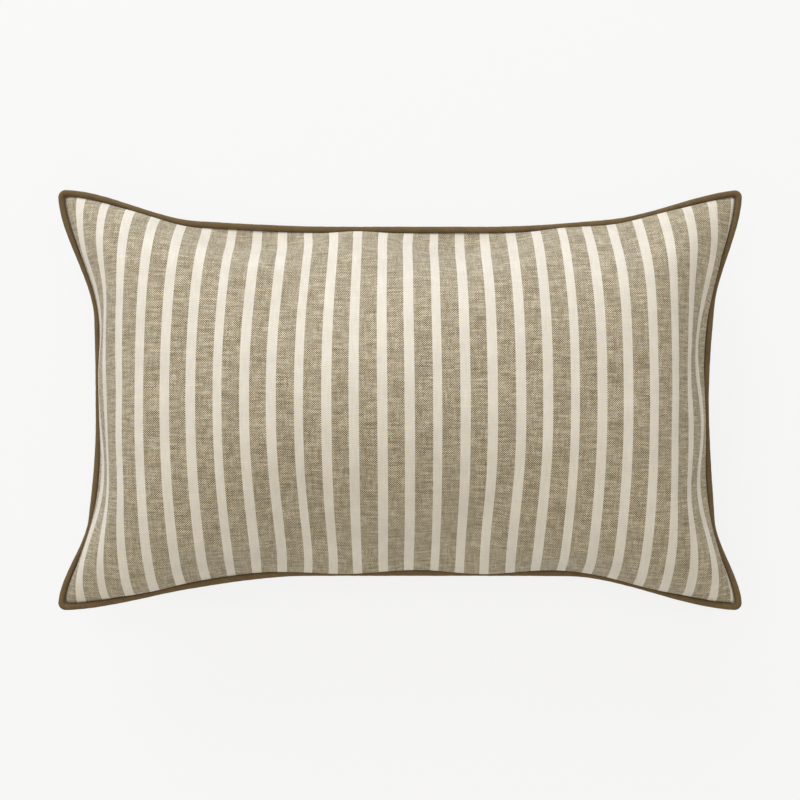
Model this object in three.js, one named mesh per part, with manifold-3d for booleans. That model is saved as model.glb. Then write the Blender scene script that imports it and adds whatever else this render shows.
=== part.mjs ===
// A piped rectangular throw pillow, lying on its back: a striped woven cover in two panels, a corded
// piping in the seam between them, a coil zip hidden under the piping of the lower long edge, and a
// separate stuffed insert inside. Millimetres; X runs along the long edges, Y along the short ones,
// Z is up, and the origin is on the resting surface under the middle of the pillow.
import * as THREE from "three";
import { mergeVertices } from "three/addons/utils/BufferGeometryUtils.js";
import Module from "manifold-3d";

// ---------------------------------------------------------------- driving dimensions

const overallWidth = 540; // corner to corner, over the piping
const overallDepth = 332;
const frontRise = 90; // crown of the front panel above the seam
const backDepth = 86; // how far the back panel would bulge below the seam, if nothing pressed on it
const seamHeight = 74; // the seam above the resting surface
const cornerDroop = 5; // how far each corner hangs below the rest of the seam
const level = 0.66; // share of the width over which the seam is level

const fabric = 0.8; // thickness of the striped cloth
const ticking = 0.5; // thickness of the insert's cloth
const clearance = 0.3; // between pieces that touch or are sewn together
const seamAllowance = 8; // width of cloth turned in past the seam
const seamBehindPiping = 0.75; // from the piping's round in to the panels' edge

const cordRadius = 1.45; // cotton cord inside the piping
const pipingWall = 0.7; // cloth wrapped round that cord
const pipingTail = 0.38; // thickness of each of the piping's two tails
const tailGap = 0.12; // half of the gap between the tails
const cornerRadius = 6; // of the piping's centre line

const insertMargin = 3; // between the zip's upper tape and the insert's edge
const insertEase = 0.9; // between the cover's lining side and the insert
const fillEase = 0.4; // between the insert's cloth and the filling

// How each edge bows in between its corners: the depth in the middle, and for the two ends of the edge
// the length over which the corner stands out, and a bluntness from 0, pointed, to 2, square.
const bow = {
  top: { depth: 29.5, left: [125, 1.9], right: [146, 1] },
  bottom: { depth: 27.5, left: [190, 1.3], right: [138, 1.8] },
  left: { depth: 30, bottom: [98, 1], top: [98, 2] },
  right: { depth: 26.8, bottom: [94, 1], top: [126, 1.5] },
};
const crownAlong = 4.6; // exponent of the crown along X: a long flat top with round ends
const crownAcross = 2.2; // and along Y: nearly an ellipse

const columns = 24; // cells of each panel along X
const rows = 14; // and along Y
const cornerSteps = 4; // extra cells of the piping round each corner

// Zip, a size 3 coil. Its own frame has X along the chain, Z up and Y pointing into the pillow.
const zipLength = 278;
const zipMiddle = 14; // of the chain from the pillow's middle, where the edge is straightest
const zipDrop = 6.2; // from the seam down to the middle of the chain
const coilSize = 2; // each of the two coils, both ways
const coilGap = 1.3; // between the two coils, for the slider's web
const tapeThickness = 0.5;
const tapeWidth = 11; // of the lower tape, from the coil down
const tapeEnds = 10; // of tape past each end of the chain
const stopLength = 2.5;
const stopThickness = 3.2;
const openingEnds = 18; // of opening past each end of the chain
const openingEase = 0.8; // between the slider and the opening's lower edge
const sliderLength = 8.5;
const sliderEase = 0.35; // all round the coils, inside the slider
const sliderPlate = 0.9;
const sliderFlange = 0.7;
const sliderNose = 1.5; // its taper at the closed end
const sliderChamfer = 1; // and at the mouth
const webWidth = 0.7;
const webLength = 2.4;
const crownHeight = 0.95; // free space over the pull's hinge line, inside the slider's crown
const crownSpan = 1.3; // and to each side of it
const crownBar = 0.8;
const crownWidth = 1.6;
const hingeStandOff = 1; // of the pull's hinge line from the slider's plate
const pullLength = 20;
const pullWidth = 5;
const pullThickness = 0.9;
const pullWaist = 0.6; // how far each side of the pull draws in
const pullEye = 3.9; // far edge of the pull's eye from the hinge line

const labelWidth = 30;
const labelHeight = 12;
const labelThickness = 0.6; // a folded tape
const labelPlace = -0.76; // its middle along the lower edge, as a share of half the width

// ---------------------------------------------------------------- materials

const cloth = (color, roughness) => new THREE.MeshStandardMaterial({ color, roughness, metalness: 0 });
const stripedLinen = cloth(0xbbaf98, 0.95);
const oliveVelvet = cloth(0x6f5f41, 0.98);
const cottonCord = cloth(0xe8e2d2, 0.95);
const zipCloth = cloth(0x6b6047, 0.85);
const zipNylon = cloth(0x5e553f, 0.5);
const insertCotton = cloth(0xf2f0ea, 0.9);
const fibreFill = cloth(0xfafaf7, 1);
const labelTape = cloth(0xf6f4ee, 0.7);
const zincAlloy = new THREE.MeshStandardMaterial({ color: 0x7d7664, roughness: 0.4, metalness: 1 });

// ---------------------------------------------------------------- outline of the seam

const pipingRadius = cordRadius + clearance + pipingWall;
const halfWidth = overallWidth / 2 - pipingRadius; // to the middle of the piping
const halfDepth = overallDepth / 2 - pipingRadius;
const panelInset = pipingRadius + seamBehindPiping; // from the middle of the piping in to the panels' edge
const allowanceInset = panelInset + seamAllowance;

// How far an edge has bowed in at a distance from a corner, from 0 to 1.
function earRise(distance, [length, bluntness]) {
  const t = Math.min(Math.max(distance / length, 0), 1);
  return 1 - (1 - t) ** 2 * (1 + bluntness * t);
}

// Moves a point of the plain rectangle to where the stuffed pillow has drawn it.
function drawnIn(x, y) {
  const ends = (edge, low, high, at, half) => edge.depth * earRise(half + at, low) * earRise(half - at, high);
  const long = y > 0 ? bow.top : bow.bottom;
  const short = x > 0 ? bow.right : bow.left;
  const inY = ends(long, long.left, long.right, x, halfWidth);
  const inX = ends(short, short.bottom, short.top, y, halfDepth);
  const share = (t) => (t * (3 - t * t)) / 2; // 1 at the edge, where it moves as a whole
  return [x - inX * share(x / halfWidth), y - inY * share(y / halfDepth)];
}

// A point of the plain rectangle, up from the surface the seam lies in.
function seamPoint(x, y, up) {
  const smooth = (t) => t * t * (3 - 2 * t);
  const ear = Math.max(Math.abs(x / halfWidth) - level, 0) / (1 - level);
  const droop = cornerDroop * smooth(ear) * smooth(Math.abs(y / halfDepth));
  return new THREE.Vector3(...drawnIn(x, y), seamHeight - droop + up);
}

// A point of the seam's border, moved in by inset. Corners are cut back to the piping's rounding.
function borderPoint(u, v, inset, up) {
  const radius = Math.max(cornerRadius - inset, 0);
  const cut = Math.abs(u) === 1 && Math.abs(v) === 1 ? radius * (1 - Math.SQRT1_2) : 0;
  return seamPoint(u * (halfWidth - inset - cut), v * (halfDepth - inset - cut), up);
}

// Places across the zip, from the middle of its chain.
const coilNear = coilGap / 2;
const coilFar = coilNear + coilSize;
const tapeStart = coilFar + clearance;
const channelHalf = coilFar + sliderEase;
const channelDepth = coilSize / 2 + sliderEase;
const sliderSide = channelHalf + sliderFlange;
const plateFace = channelDepth + sliderPlate;

// The back panel's edge below the seam, along the zip.
const openingHeight = zipDrop + sliderSide + openingEase;

const lowerEdgeAt = (x) => borderPoint(x / halfWidth, -1, 0, 0);

// The zip is straight, so near its ends the bowed edge leaves it, and the insert keeps clear of the zip.
const tapeHalf = zipLength / 2 + tapeEnds;
const edgeAtTapeEnds = [-tapeHalf, tapeHalf].map((x) => lowerEdgeAt(zipMiddle + x).y);
const departure = lowerEdgeAt(zipMiddle).y - Math.min(...edgeAtTapeEnds);
const casingInset = allowanceInset + departure + insertMargin;

// ---------------------------------------------------------------- closed surfaces

// Steps from -1 to 1 that are closest together at the ends.
const steps = (count) => Array.from({ length: count + 1 }, (_, i) => Math.sin(Math.PI * (i / count - 0.5)));
const uSteps = steps(columns);
const vSteps = steps(rows);

// The border's grid points, counter-clockwise from the lower left corner.
const border = [];
for (let i = 0; i < columns; i++) border.push([uSteps[i], -1]);
for (let j = 0; j < rows; j++) border.push([1, vSteps[j]]);
for (let i = columns; i > 0; i--) border.push([uSteps[i], 1]);
for (let j = rows; j > 0; j--) border.push([-1, vSteps[j]]);

class Surface {
  positions = [];

  // A triangle with two corners in one place is left out.
  triangle(a, b, c) {
    if (a.equals(b) || b.equals(c) || c.equals(a)) return;
    for (const p of [a, b, c]) this.positions.push(p.x, p.y, p.z);
  }

  quad(a, b, c, d) {
    this.triangle(a, b, c);
    this.triangle(a, c, d);
  }

  // A strip between two loops that run the same way. Turned over, it keeps its diagonals.
  strip(from, to, over = false) {
    from.forEach((p, i) => {
      const next = (i + 1) % from.length;
      if (over) this.quad(p, to[i], to[next], from[next]);
      else this.quad(p, from[next], to[next], to[i]);
    });
  }

  geometry() {
    const made = new THREE.BufferGeometry();
    made.setAttribute("position", new THREE.Float32BufferAttribute(this.positions, 3));
    const merged = mergeVertices(made, 1e-4);
    merged.computeVertexNormals();
    return merged;
  }
}

// One crowned layer of the pillow. side is 1 for the front and -1 for the back; rim is how far its border
// lies from the seam, rise how far its crown lies from that border, and rest the least height over the floor.
function crownPoint(layer, u, v) {
  const height = Math.sqrt((1 - Math.abs(u) ** crownAlong) * (1 - Math.abs(v) ** crownAcross));
  const point = borderPoint(u, v, layer.inset, layer.side * (layer.rim + layer.rise * height));
  if (layer.side < 0) point.z = Math.max(point.z, layer.rest);
  return point;
}

function addCrown(surface, layer, outwards) {
  const grid = uSteps.map((u) => vSteps.map((v) => crownPoint(layer, u, v)));
  for (let i = 0; i < columns; i++) {
    for (let j = 0; j < rows; j++) {
      const [a, b, c, d] = [grid[i][j], grid[i + 1][j], grid[i + 1][j + 1], grid[i][j + 1]];
      if (outwards === layer.side > 0) surface.quad(a, b, c, d);
      else surface.quad(a, d, c, b);
    }
  }
}

// Joins loops of the border, each given as [inset, up], from an outer crown's rim to an inner crown's rim.
function addRim(surface, side, profile) {
  const loops = profile.map(([inset, up]) => border.map(([u, v]) => borderPoint(u, v, inset, side * up)));
  for (let k = 1; k < loops.length; k++) surface.strip(loops[k - 1], loops[k], side > 0);
}

// ---------------------------------------------------------------- booleans

const wasm = await Module();
wasm.setup();

function solidOf(geometry) {
  const bare = new THREE.BufferGeometry().setAttribute("position", geometry.getAttribute("position"));
  const merged = mergeVertices(geometry.index ? bare.setIndex(geometry.index) : bare, 1e-4);
  const vertProperties = new Float32Array(merged.getAttribute("position").array);
  return new wasm.Manifold(
    new wasm.Mesh({ numProp: 3, vertProperties, triVerts: new Uint32Array(merged.index.array) }),
  );
}

function geometryOf(solid) {
  const mesh = solid.getMesh();
  const made = new THREE.BufferGeometry();
  made.setAttribute("position", new THREE.BufferAttribute(mesh.vertProperties, 3));
  made.setIndex(new THREE.BufferAttribute(mesh.triVerts, 1));
  made.computeVertexNormals();
  return made;
}

const joined = (...geometries) => geometryOf(geometries.map(solidOf).reduce((a, b) => a.add(b)));

// A box given by its lowest and highest corners.
function block(x0, y0, z0, x1, y1, z1) {
  const box = new THREE.BoxGeometry(x1 - x0, y1 - y0, z1 - z0);
  return box.translate((x0 + x1) / 2, (y0 + y1) / 2, (z0 + z1) / 2);
}

// ---------------------------------------------------------------- cover panels

const coverRim = pipingTail + tailGap + clearance; // the panels' edge above or below the seam
const hemTop = coverRim + fabric;

function coverLayers(side) {
  const rise = side > 0 ? frontRise : backDepth;
  const outer = { side, inset: panelInset, rim: coverRim, rise, rest: 0 };
  const inner = { side, inset: panelInset + fabric, rim: hemTop, rise: rise - 2 * fabric, rest: fabric };
  return { outer, inner };
}

function coverPanel(side) {
  const { outer, inner } = coverLayers(side);
  const surface = new Surface();
  addCrown(surface, outer, true);
  addCrown(surface, inner, false);
  addRim(surface, side, [
    [outer.inset, outer.rim],
    [allowanceInset, outer.rim],
    [allowanceInset, inner.rim],
    [inner.inset, inner.rim],
  ]);
  return surface.geometry();
}

// How far in the back panel has come, by the zip, at a depth below the seam.
function wallLean(depth) {
  const wall = vSteps.map((v) => crownPoint(coverLayers(-1).outer, zipMiddle / halfWidth, v));
  const below = wall.findIndex((point) => seamHeight - point.z > depth);
  const [start, end] = [wall[below - 1], wall[below]];
  const share = (start.z - (seamHeight - depth)) / (start.z - end.z);
  return THREE.MathUtils.lerp(start.y, end.y, share) - wall[0].y;
}

// Where the zip's frame stands: just behind the back panel, where the lower edge is straight.
const lowerEdge = lowerEdgeAt(zipMiddle);
const zipRecess = wallLean(openingHeight) + fabric + 2 * clearance + tapeThickness / 2;
const zipY = lowerEdge.y + panelInset + zipRecess;
const zipZ = seamHeight - zipDrop;
const zipStart = zipMiddle - zipLength / 2;
const zipEnd = zipMiddle + zipLength / 2;

// The back panel stops below the zip, and its seam allowance is left out there.
function backPanel() {
  const opening = block(
    zipStart - openingEnds,
    lowerEdge.y - bow.bottom.depth,
    seamHeight - openingHeight,
    zipEnd + openingEnds,
    lowerEdge.y + allowanceInset + 1,
    seamHeight,
  );
  return geometryOf(solidOf(coverPanel(-1)).subtract(solidOf(opening)));
}

// ---------------------------------------------------------------- piping

// Stations round the seam: the border's points, with a rounded corner in place of each corner point.
// Each has the middle of the piping and the end of the seam allowance.
function pipingStations() {
  const places = [];
  for (const [u, v] of border) {
    const tail = borderPoint(u, v, allowanceInset, 0);
    const [x, y] = [u * (halfWidth - cornerRadius), v * (halfDepth - cornerRadius)];
    const turns = Math.abs(u) === 1 && Math.abs(v) === 1 ? cornerSteps : 0;
    const side = Math.abs(v) === 1 ? Math.PI * (v / 2) : Math.PI * (u < 0 ? 1 : 0);
    const start = turns ? Math.atan2(v, u) - Math.PI / 4 : side;
    for (let k = 0; k <= turns; k++) {
      const angle = start + (k / cornerSteps) * (Math.PI / 2);
      const [across, up] = [cornerRadius * Math.cos(angle), cornerRadius * Math.sin(angle)];
      places.push({ centre: seamPoint(x + across, y + up, 0), tail });
    }
  }
  return places;
}

const stations = pipingStations();

// The level direction that points out of the pillow at a station.
function outward(index) {
  const count = stations.length;
  const ahead = stations[(index + 1) % count].centre;
  const behind = stations[(index + count - 1) % count].centre;
  return new THREE.Vector3(ahead.y - behind.y, behind.x - ahead.x, 0).normalize();
}

// Sweeps a section round the seam. Each of its points is [out, up], or [null, up] at the tail's end.
function aroundSeam(section) {
  const surface = new Surface();
  const loops = stations.map(({ centre, tail }, index) => {
    const out = outward(index);
    return section.map(([a, b]) => {
      const point = a === null ? tail.clone() : centre.clone().addScaledVector(out, a);
      return point.setZ(point.z + b);
    });
  });
  loops.forEach((loop, k) => surface.strip(loop, loops[(k + 1) % loops.length]));
  return surface.geometry();
}

// An arc of section points about the centre, in degrees from the outward side.
const arc = (radius, from, to, count) =>
  Array.from({ length: count }, (_, k) => {
    const angle = THREE.MathUtils.degToRad(from + ((to - from) * k) / (count - 1));
    return [radius * Math.cos(angle), radius * Math.sin(angle)];
  });

const pipingCord = () => aroundSeam(arc(cordRadius, 300, 0, 6));

// The cloth goes once round the cord, and its two tails run in between the panels.
function pipingCover() {
  const tailLevel = tailGap + pipingTail;
  const outerEnd = 180 - THREE.MathUtils.radToDeg(Math.asin(tailLevel / pipingRadius));
  const bore = cordRadius + clearance;
  const innerEnd = 180 - THREE.MathUtils.radToDeg(Math.asin(tailGap / bore));
  return aroundSeam([
    [null, tailLevel],
    ...arc(pipingRadius, outerEnd, -outerEnd, 9),
    [null, -tailLevel],
    [null, -tailGap],
    ...arc(bore, -innerEnd, innerEnd, 8),
    [null, tailGap],
  ]);
}

// ---------------------------------------------------------------- insert

const casingRim = clearance / 2;

function casingLayers(side) {
  const coverInside = (side > 0 ? frontRise : backDepth) + coverRim - fabric;
  const rise = coverInside - insertEase - casingRim;
  const rest = fabric + insertEase;
  const outer = { side, inset: casingInset, rim: casingRim, rise, rest };
  const inner = { ...outer, inset: casingInset + ticking, rise: rise - ticking, rest: rest + ticking };
  return { outer, inner };
}

function insertCasing(side) {
  const { outer, inner } = casingLayers(side);
  const surface = new Surface();
  addCrown(surface, outer, true);
  addCrown(surface, inner, false);
  addRim(surface, side, [
    [outer.inset, outer.rim],
    [inner.inset, inner.rim],
  ]);
  return surface.geometry();
}

function insertFill() {
  const surface = new Surface();
  for (const side of [1, -1]) {
    const { inner } = casingLayers(side);
    const inset = inner.inset + fillEase;
    const [rise, rest] = [inner.rise - fillEase, inner.rest + fillEase];
    addCrown(surface, { side, inset, rim: 0, rise, rest }, true);
  }
  return surface.geometry();
}

// ---------------------------------------------------------------- zip

// A profile in the zip's YZ plane, drawn along X.
function alongZip(profile, from, to) {
  const shape = new THREE.Shape(profile.map(([y, z]) => new THREE.Vector2(y, z)));
  const drawn = new THREE.ExtrudeGeometry(shape, { depth: to - from, bevelEnabled: false });
  const turn = new THREE.Matrix4().makeBasis(
    new THREE.Vector3(0, 1, 0),
    new THREE.Vector3(0, 0, 1),
    new THREE.Vector3(1, 0, 0),
  );
  return drawn.applyMatrix4(turn).translate(from, 0, 0);
}

// The upper tape turns in under the piping, to be caught in the seam.
function zipTapeUpper() {
  const half = tapeThickness / 2;
  const ledge = zipDrop - coverRim;
  const inEnd = allowanceInset - panelInset - zipRecess;
  const profile = [
    [-half, tapeStart],
    [half, tapeStart],
    [half, ledge - tapeThickness],
    [inEnd, ledge - tapeThickness],
    [inEnd, ledge],
    [-half, ledge],
  ];
  return alongZip(profile, -tapeHalf, tapeHalf);
}

// The lower tape runs down behind the back panel, at the panel's own slope.
function zipTapeLower() {
  const half = tapeThickness / 2;
  const bend = openingHeight - zipDrop;
  const leanDown = tapeWidth - (bend - coilFar);
  const leanIn = wallLean(openingHeight + leanDown) - wallLean(openingHeight);
  const profile = [
    [-half, -tapeStart],
    [-half, -bend],
    [leanIn - half, -bend - leanDown],
    [leanIn + half, -bend - leanDown],
    [half, -bend],
    [half, -tapeStart],
  ];
  return alongZip(profile, -tapeHalf, tapeHalf);
}

// One coil, its teeth drawn as a plain bar of the coil's own outer size.
function zipCoil(side) {
  const [low, high] = side > 0 ? [coilNear, coilFar] : [-coilFar, -coilNear];
  return block(-zipLength / 2, -coilSize / 2, low, zipLength / 2, coilSize / 2, high);
}

function bottomStop() {
  const end = -zipLength / 2 - clearance;
  return block(end - stopLength, -stopThickness / 2, -coilFar, end, stopThickness / 2, coilFar);
}

function topStop(side) {
  const start = zipLength / 2 + clearance;
  const [low, high] = side > 0 ? [coilNear, coilFar] : [-coilFar, -coilNear];
  return block(start, -stopThickness / 2, low, start + stopLength, stopThickness / 2, high);
}

// The slider's frame has its origin in the middle of the chain, and its mouth towards +X.
function zipSlider() {
  const half = sliderLength / 2;
  const lip = tapeThickness / 2 + sliderEase;
  const sink = 0.1; // of one piece in the next, so that they join
  const outline = new THREE.Shape([
    new THREE.Vector2(-half, -channelHalf),
    new THREE.Vector2(-half + sliderNose, -sliderSide),
    new THREE.Vector2(half - sliderChamfer, -sliderSide),
    new THREE.Vector2(half, -sliderSide + sliderChamfer),
    new THREE.Vector2(half, sliderSide - sliderChamfer),
    new THREE.Vector2(half - sliderChamfer, sliderSide),
    new THREE.Vector2(-half + sliderNose, sliderSide),
    new THREE.Vector2(-half, channelHalf),
  ]);
  const upright = new THREE.Matrix4().makeRotationX(Math.PI / 2);
  const plate = (y) =>
    new THREE.ExtrudeGeometry(outline, { depth: sliderPlate, bevelEnabled: false })
      .applyMatrix4(upright)
      .translate(0, y, 0);
  const pieces = [plate(-channelDepth), plate(plateFace)];
  // A flange along each side of each plate keeps the coils in.
  for (const edge of [1, -1]) {
    for (const face of [1, -1]) {
      const [z0, z1] = [channelHalf * edge, (sliderSide - sink / 2) * edge].sort((a, b) => a - b);
      const [y0, y1] = [lip * face, (channelDepth + sink) * face].sort((a, b) => a - b);
      pieces.push(block(-half + sliderNose, y0, z0, half - sliderChamfer, y1, z1));
    }
  }
  // The web joins the plates at the mouth, and parts the coils.
  const webEnd = half - sliderChamfer / 2;
  const webReach = plateFace - sink;
  pieces.push(block(webEnd - webLength, -webReach, -webWidth / 2, webEnd, webReach, webWidth / 2));
  // The crown is a staple on the outer plate, which the pull hangs in.
  const beam = plateFace + hingeStandOff + crownHeight;
  const reach = crownSpan + crownBar;
  const wide = crownWidth / 2;
  pieces.push(block(-reach, -beam - crownBar, -wide, reach, -beam, wide));
  pieces.push(block(-reach, -beam - sink, -wide, -crownSpan, -plateFace + sink, wide));
  pieces.push(block(crownSpan, -beam - sink, -wide, reach, -plateFace + sink, wide));
  return joined(...pieces);
}

// The pull's frame has its origin on the hinge line. It lies flat, pointing back over the closed chain.
function zipPull() {
  const bar = pullThickness / 2;
  const side = pullWidth / 2;
  const waist = side - pullWaist;
  const outline = new THREE.Shape();
  outline.moveTo(bar, -side + pullWaist);
  outline.lineTo(bar, waist);
  outline.lineTo(bar - pullWaist, side);
  outline.lineTo(-pullLength * 0.4, waist);
  outline.lineTo(-pullLength + side, side);
  outline.absarc(-pullLength + side, 0, side, Math.PI / 2, (3 * Math.PI) / 2, false);
  outline.lineTo(-pullLength * 0.4, -waist);
  outline.lineTo(bar - pullWaist, -side);
  const eyeHalf = crownWidth / 2 + clearance;
  const eye = new THREE.Path();
  eye.moveTo(-bar, -eyeHalf);
  eye.lineTo(-pullEye, -eyeHalf);
  eye.lineTo(-pullEye, eyeHalf);
  eye.lineTo(-bar, eyeHalf);
  outline.holes.push(eye);
  const settings = { depth: pullThickness, bevelEnabled: false, curveSegments: 8 };
  const flat = new THREE.ExtrudeGeometry(outline, settings);
  return flat.applyMatrix4(new THREE.Matrix4().makeRotationX(Math.PI / 2)).translate(0, bar, 0);
}

// ---------------------------------------------------------------- care label

// A folded tape that hangs inside the cover from the lower edge's seam allowance.
function careLabel() {
  const inset = allowanceInset - 1;
  const top = -hemTop - clearance;
  const count = 4;
  const surface = new Surface();
  const section = Array.from({ length: count + 1 }, (_, k) => {
    const u = labelPlace + (labelWidth * (k / count - 0.5)) / halfWidth;
    const near = borderPoint(u, -1, inset, 0);
    const far = borderPoint(u, -1, inset + labelThickness, 0);
    const at = (point, up) => new THREE.Vector3(point.x, point.y, point.z + up);
    return [at(near, top), at(far, top), at(far, top - labelHeight), at(near, top - labelHeight)];
  });
  for (let k = 0; k < count; k++) surface.strip(section[k + 1], section[k]);
  surface.quad(...section[0]);
  surface.quad(...section[count].slice().reverse());
  return surface.geometry();
}

// ---------------------------------------------------------------- assembly

function named(name, geometry, material) {
  const mesh = new THREE.Mesh(geometry, material);
  mesh.name = name;
  return mesh;
}

const cover = new THREE.Group();
cover.add(named("front_panel", coverPanel(1), stripedLinen));
cover.add(named("back_panel", backPanel(), stripedLinen));
cover.add(named("piping_cover", pipingCover(), oliveVelvet));
cover.add(named("piping_cord", pipingCord(), cottonCord));
cover.add(named("care_label", careLabel(), labelTape));

const insert = new THREE.Group();
insert.add(named("insert_casing_front", insertCasing(1), insertCotton));
insert.add(named("insert_casing_back", insertCasing(-1), insertCotton));
insert.add(named("insert_fill", insertFill(), fibreFill));

const zip = new THREE.Group();
zip.position.set(zipMiddle, zipY, zipZ);
zip.add(named("zip_tape_upper", zipTapeUpper(), zipCloth));
zip.add(named("zip_tape_lower", zipTapeLower(), zipCloth));
zip.add(named("zip_coil_upper", zipCoil(1), zipNylon));
zip.add(named("zip_coil_lower", zipCoil(-1), zipNylon));
zip.add(named("zip_bottom_stop", bottomStop(), zincAlloy));
zip.add(named("zip_top_stop_upper", topStop(1), zipNylon));
zip.add(named("zip_top_stop_lower", topStop(-1), zipNylon));

// Closed, the slider stands against the top stops.
const slider = named("zip_slider", zipSlider(), zincAlloy);
slider.position.set(zipLength / 2 - sliderLength / 2, 0, 0);
const pull = named("zip_pull", zipPull(), zincAlloy);
pull.position.set(0, -plateFace - hingeStandOff, 0);
slider.add(pull);
zip.add(slider);

const pillow = new THREE.Group();
pillow.add(cover, insert, zip);

export default pillow;
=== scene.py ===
# %% [markdown]
# # A piped throw pillow
# A throw pillow is two sheets of striped cloth sewn together round their edges, with a corded piping in the
# seam, a zip hidden under the piping, and a stuffed insert inside. This lesson makes each of those pieces
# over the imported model, which already holds the true sizes, the zip and its joints. Nothing here moves that
# frame: every piece is made where the frame says, in metres.

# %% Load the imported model
import math

import bmesh
import bpy
import numpy as np
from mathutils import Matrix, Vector


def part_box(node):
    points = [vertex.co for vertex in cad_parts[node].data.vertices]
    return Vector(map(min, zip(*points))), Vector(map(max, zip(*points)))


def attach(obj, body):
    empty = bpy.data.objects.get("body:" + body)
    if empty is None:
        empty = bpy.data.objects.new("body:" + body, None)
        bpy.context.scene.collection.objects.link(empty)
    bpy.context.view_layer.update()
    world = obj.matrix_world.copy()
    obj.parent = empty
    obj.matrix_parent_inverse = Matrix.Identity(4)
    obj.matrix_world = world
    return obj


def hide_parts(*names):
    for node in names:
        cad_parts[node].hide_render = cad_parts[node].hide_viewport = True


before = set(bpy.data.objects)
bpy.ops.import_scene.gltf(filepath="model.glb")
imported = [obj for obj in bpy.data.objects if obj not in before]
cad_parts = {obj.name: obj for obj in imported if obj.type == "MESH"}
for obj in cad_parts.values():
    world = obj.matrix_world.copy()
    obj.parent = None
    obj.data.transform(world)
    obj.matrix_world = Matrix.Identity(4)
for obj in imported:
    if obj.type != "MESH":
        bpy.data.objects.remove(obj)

MM = 0.001
PILLOW = "pillow"
scene = bpy.context.scene
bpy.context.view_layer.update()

# %% [markdown]
# ## The stage
# The pillow lies on its back, so a camera straight above it sees the front square on. A long lens from
# nearly two metres keeps the crown from swelling towards the camera. The light is a wide sheet on the side
# of the upper long edge, in an even pale room: the upper edge glows, the lower edge falls into shade, and
# nothing has a hard shadow. The table is a pale one lit from below, as for catalogue work, so the pillow
# hardly darkens it.

# %% Camera
TAPE_BELOW_SEAM = 0.8 * MM
seam_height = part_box("zip_tape_upper")[1].z + TAPE_BELOW_SEAM
camera_height = 1.9
view_width = 0.630
camera = bpy.data.objects.new("camera", bpy.data.cameras.new("camera"))
camera.data.lens = camera.data.sensor_width * camera_height / view_width
camera.location = (0, 0, seam_height + camera_height)
scene.collection.objects.link(camera)
scene.camera = camera
print("lens in mm:", round(camera.data.lens, 1), "seam height in mm:", round(seam_height / MM, 2))


# %% Lights
def sheet_light(name, place, size, power, colour):
    """A soft square light that faces the pillow."""
    light = bpy.data.objects.new(name, bpy.data.lights.new(name, "AREA"))
    light.data.shape = "SQUARE"
    light.data.size = size
    light.data.energy = power
    light.data.color = colour
    light.location = place
    light.rotation_euler = (-Vector(place)).to_track_quat("-Z", "Y").to_euler()
    scene.collection.objects.link(light)
    return light


sheet_light("upper_light", (-0.85, 2.5, 1.1), 2.0, 50, (0.94, 0.99, 1.1))
sheet_light("top_light", (-0.3, 0.25, 3.1), 3.0, 43, (1.03, 1.0, 0.96))
room = bpy.data.worlds.new("room")
room.use_nodes = True
room.node_tree.nodes["Background"].inputs["Color"].default_value = (1.0, 0.955, 0.86, 1)
room.node_tree.nodes["Background"].inputs["Strength"].default_value = 0.46
scene.world = room
scene.view_settings.view_transform = "Standard"

# %% The lit table
FLOOR_HALF = 8.0
floor_mesh = bpy.data.meshes.new("floor")
floor_corners = [(-1, -1), (1, -1), (1, 1), (-1, 1)]
floor_mesh.from_pydata([(x * FLOOR_HALF, y * FLOOR_HALF, -0.2 * MM) for x, y in floor_corners], [], [(0, 1, 2, 3)])
floor = bpy.data.objects.new("floor", floor_mesh)
scene.collection.objects.link(floor)
tabletop = bpy.data.materials.new("pale_tabletop")
tabletop.use_nodes = True
tabletop_shader = tabletop.node_tree.nodes["Principled BSDF"]
tabletop_shader.inputs["Base Color"].default_value = (0.12, 0.12, 0.12, 1)
tabletop_shader.inputs["Roughness"].default_value = 0.9
tabletop_shader.inputs["Specular IOR Level"].default_value = 0.1
tabletop_shader.inputs["Emission Color"].default_value = (1, 1, 1, 1)
tabletop_shader.inputs["Emission Strength"].default_value = 0.815
floor_mesh.materials.append(tabletop)

# %% [markdown]
# ## How a material is put together here
# Every finish is a small node tree on the Principled shader. The trees share the same few moves, such as
# doing sums on a coordinate, reading noise, and mixing two colours, so those moves get short helpers. The
# patterns read the cloth's own flat map in metres, or the object's coordinates, so they stay in place when a
# zip slides or the eye moves. Numbers that are the same all over, such as sheen, go straight on the shader.


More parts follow.
